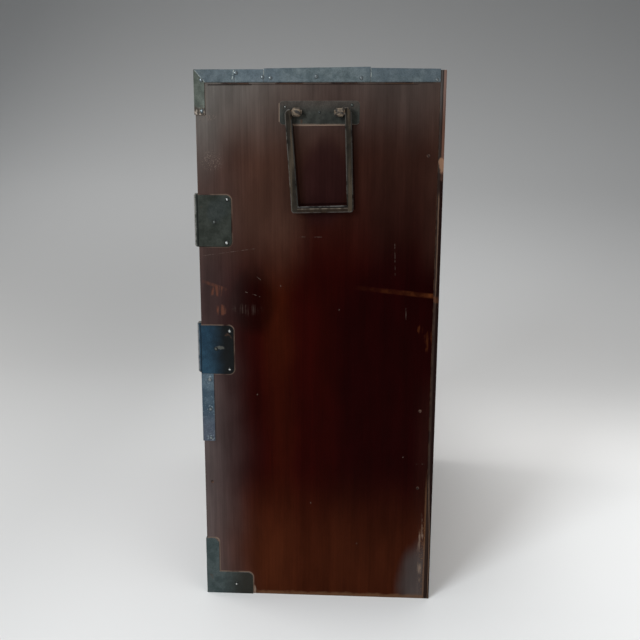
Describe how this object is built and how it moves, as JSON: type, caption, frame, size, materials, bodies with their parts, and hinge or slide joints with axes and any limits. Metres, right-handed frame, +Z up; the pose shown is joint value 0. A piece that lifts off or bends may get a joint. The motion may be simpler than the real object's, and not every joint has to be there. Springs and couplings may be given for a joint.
{
  "type": "ship chest",
  "caption": "Upright lacquered wood ship chest with iron straps, a hinged side door, drawers and drop carrying handles.",
  "frame": {"origin": "centre of the underside of the case, on the floor", "axes": "+Z up; the front with its drawers and door faces -Y; +X is the right side as seen from the front"},
  "size_m": [0.695, 0.3998, 0.8848],
  "materials": {
    "side_wood": "worn lacquer",
    "top_wood": "worn lacquer",
    "front_wood": "lacquer",
    "rail_wood": "lacquer",
    "inner_wood": "bare",
    "strap_iron": "aged black lacquered iron",
    "hinge_iron": "aged black lacquered iron",
    "handle_iron": "forged iron",
    "fitting_iron": "aged black lacquered iron"
  },
  "bodies": {
    "case": {"back_boards": "inner_wood", "bottom_board": "inner_wood", "bottom_corner_irons": "strap_iron", "compartment_shelf": "inner_wood", "front_corner_straps": "strap_iron", "front_edge_straps": "strap_iron", "hinge_pins": "hinge_iron", "lower_hinge_case_leaf": "hinge_iron", "lower_shelf": "rail_wood", "middle_shelf": "rail_wood", "partition": "rail_wood", "side_board_left": "side_wood", "side_board_right": "side_wood", "side_handle_eyes_left": "handle_iron", "side_handle_eyes_right": "handle_iron", "side_handle_plate_left": "strap_iron", "side_handle_plate_right": "strap_iron", "stack_shelf": "rail_wood", "top_board": "top_wood", "top_strap_front": "front_wood", "top_strap_left": "strap_iron", "top_strap_right": "strap_iron", "upper_hinge_case_leaf": "hinge_iron", "upper_shelf": "rail_wood"},
    "side_handle_right": {"side_handle_right": "handle_iron"},
    "side_handle_left": {"side_handle_left": "handle_iron"},
    "door": {"door_lock_case": "fitting_iron", "door_lock_plate": "strap_iron", "door_panel": "front_wood", "door_pull_posts": "fitting_iron", "door_rails": "front_wood", "door_stiles": "front_wood", "lower_hinge_door_leaf": "hinge_iron", "upper_hinge_door_leaf": "hinge_iron"},
    "door_bolt": {"door_bolt": "fitting_iron"},
    "keyhole_cover": {"keyhole_cover": "fitting_iron"},
    "door_pull": {"door_pull": "fitting_iron"},
    "bottom_drawer": {"bottom_drawer_front": "front_wood", "bottom_drawer_tray": "inner_wood", "bottom_drawer_irons": "strap_iron"},
    "bottom_drawer_pull_1": {"bottom_drawer_pull_1": "fitting_iron"},
    "bottom_drawer_pull_2": {"bottom_drawer_pull_2": "fitting_iron"},
    "middle_drawer": {"middle_drawer_front": "front_wood", "middle_drawer_tray": "inner_wood", "middle_drawer_irons": "strap_iron"},
    "middle_drawer_pull_1": {"middle_drawer_pull_1": "fitting_iron"},
    "middle_drawer_pull_2": {"middle_drawer_pull_2": "fitting_iron"},
    "top_drawer": {"top_drawer_front": "front_wood", "top_drawer_tray": "inner_wood", "top_drawer_irons": "strap_iron"},
    "top_drawer_pull_1": {"top_drawer_pull_1": "fitting_iron"},
    "top_drawer_pull_2": {"top_drawer_pull_2": "fitting_iron"},
    "lower_stack_drawer": {"lower_stack_drawer_front": "front_wood", "lower_stack_drawer_tray": "inner_wood", "lower_stack_drawer_irons": "strap_iron"},
    "lower_stack_drawer_pull": {"lower_stack_drawer_pull": "fitting_iron"},
    "upper_stack_drawer": {"upper_stack_drawer_front": "front_wood", "upper_stack_drawer_tray": "inner_wood", "upper_stack_drawer_irons": "strap_iron"},
    "upper_stack_drawer_pull": {"upper_stack_drawer_pull": "fitting_iron"}
  },
  "joints": [
    {"name": "side_handle_right_swing", "type": "hinge", "parent": "case", "child": "side_handle_right", "pos_m": [0.34, 0, 0.817], "axis": [0, -1, 0], "range_deg": [0, 175]},
    {"name": "side_handle_left_swing", "type": "hinge", "parent": "case", "child": "side_handle_left", "pos_m": [-0.34, 0, 0.817], "axis": [0, 1, 0], "range_deg": [0, 175]},
    {"name": "door_swing", "type": "hinge", "parent": "case", "child": "door", "pos_m": [0.31, -0.1982, 0.546], "axis": [0, 0, 1], "range_deg": [0, 175]},
    {"name": "door_bolt_throw", "type": "slide", "parent": "door", "child": "door_bolt", "axis": [-1, 0, 0], "range_m": [0, 0.008]},
    {"name": "keyhole_cover_swing", "type": "hinge", "parent": "door", "child": "keyhole_cover", "pos_m": [-0.0005, -0.19555, 0.598], "axis": [0, 1, 0], "range_deg": [-100, 100]},
    {"name": "door_pull_swing", "type": "hinge", "parent": "door", "child": "door_pull", "pos_m": [-0.0005, -0.202, 0.524], "axis": [-1, 0, 0], "range_deg": [0, 95]},
    {"name": "bottom_drawer_slide", "type": "slide", "parent": "case", "child": "bottom_drawer", "axis": [0, -1, 0], "range_m": [0, 0.3]},
    {"name": "bottom_drawer_pull_1_swing", "type": "hinge", "parent": "bottom_drawer", "child": "bottom_drawer_pull_1", "pos_m": [-0.16, -0.202, 0.11998], "axis": [-1, 0, 0], "range_deg": [0, 95]},
    {"name": "bottom_drawer_pull_2_swing", "type": "hinge", "parent": "bottom_drawer", "child": "bottom_drawer_pull_2", "pos_m": [0.16, -0.202, 0.11998], "axis": [-1, 0, 0], "range_deg": [0, 95]},
    {"name": "middle_drawer_slide", "type": "slide", "parent": "case", "child": "middle_drawer", "axis": [0, -1, 0], "range_m": [0, 0.3]},
    {"name": "middle_drawer_pull_1_swing", "type": "hinge", "parent": "middle_drawer", "child": "middle_drawer_pull_1", "pos_m": [-0.16, -0.202, 0.28448], "axis": [-1, 0, 0], "range_deg": [0, 95]},
    {"name": "middle_drawer_pull_2_swing", "type": "hinge", "parent": "middle_drawer", "child": "middle_drawer_pull_2", "pos_m": [0.16, -0.202, 0.28448], "axis": [-1, 0, 0], "range_deg": [0, 95]},
    {"name": "top_drawer_slide", "type": "slide", "parent": "case", "child": "top_drawer", "axis": [0, -1, 0], "range_m": [0, 0.3]},
    {"name": "top_drawer_pull_1_swing", "type": "hinge", "parent": "top_drawer", "child": "top_drawer_pull_1", "pos_m": [-0.16, -0.202, 0.82248], "axis": [-1, 0, 0], "range_deg": [0, 95]},
    {"name": "top_drawer_pull_2_swing", "type": "hinge", "parent": "top_drawer", "child": "top_drawer_pull_2", "pos_m": [0.16, -0.202, 0.82248], "axis": [-1, 0, 0], "range_deg": [0, 95]},
    {"name": "lower_stack_drawer_slide", "type": "slide", "parent": "case", "child": "lower_stack_drawer", "axis": [0, -1, 0], "range_m": [0, 0.3]},
    {"name": "lower_stack_drawer_pull_swing", "type": "hinge", "parent": "lower_stack_drawer", "child": "lower_stack_drawer_pull", "pos_m": [-0.18, -0.202, 0.45573], "axis": [-1, 0, 0], "range_deg": [0, 95]},
    {"name": "upper_stack_drawer_slide", "type": "slide", "parent": "case", "child": "upper_stack_drawer", "axis": [0, -1, 0], "range_m": [0, 0.3]},
    {"name": "upper_stack_drawer_pull_swing", "type": "hinge", "parent": "upper_stack_drawer", "child": "upper_stack_drawer_pull", "pos_m": [-0.18, -0.202, 0.66023], "axis": [-1, 0, 0], "range_deg": [0, 95]}
  ]
}
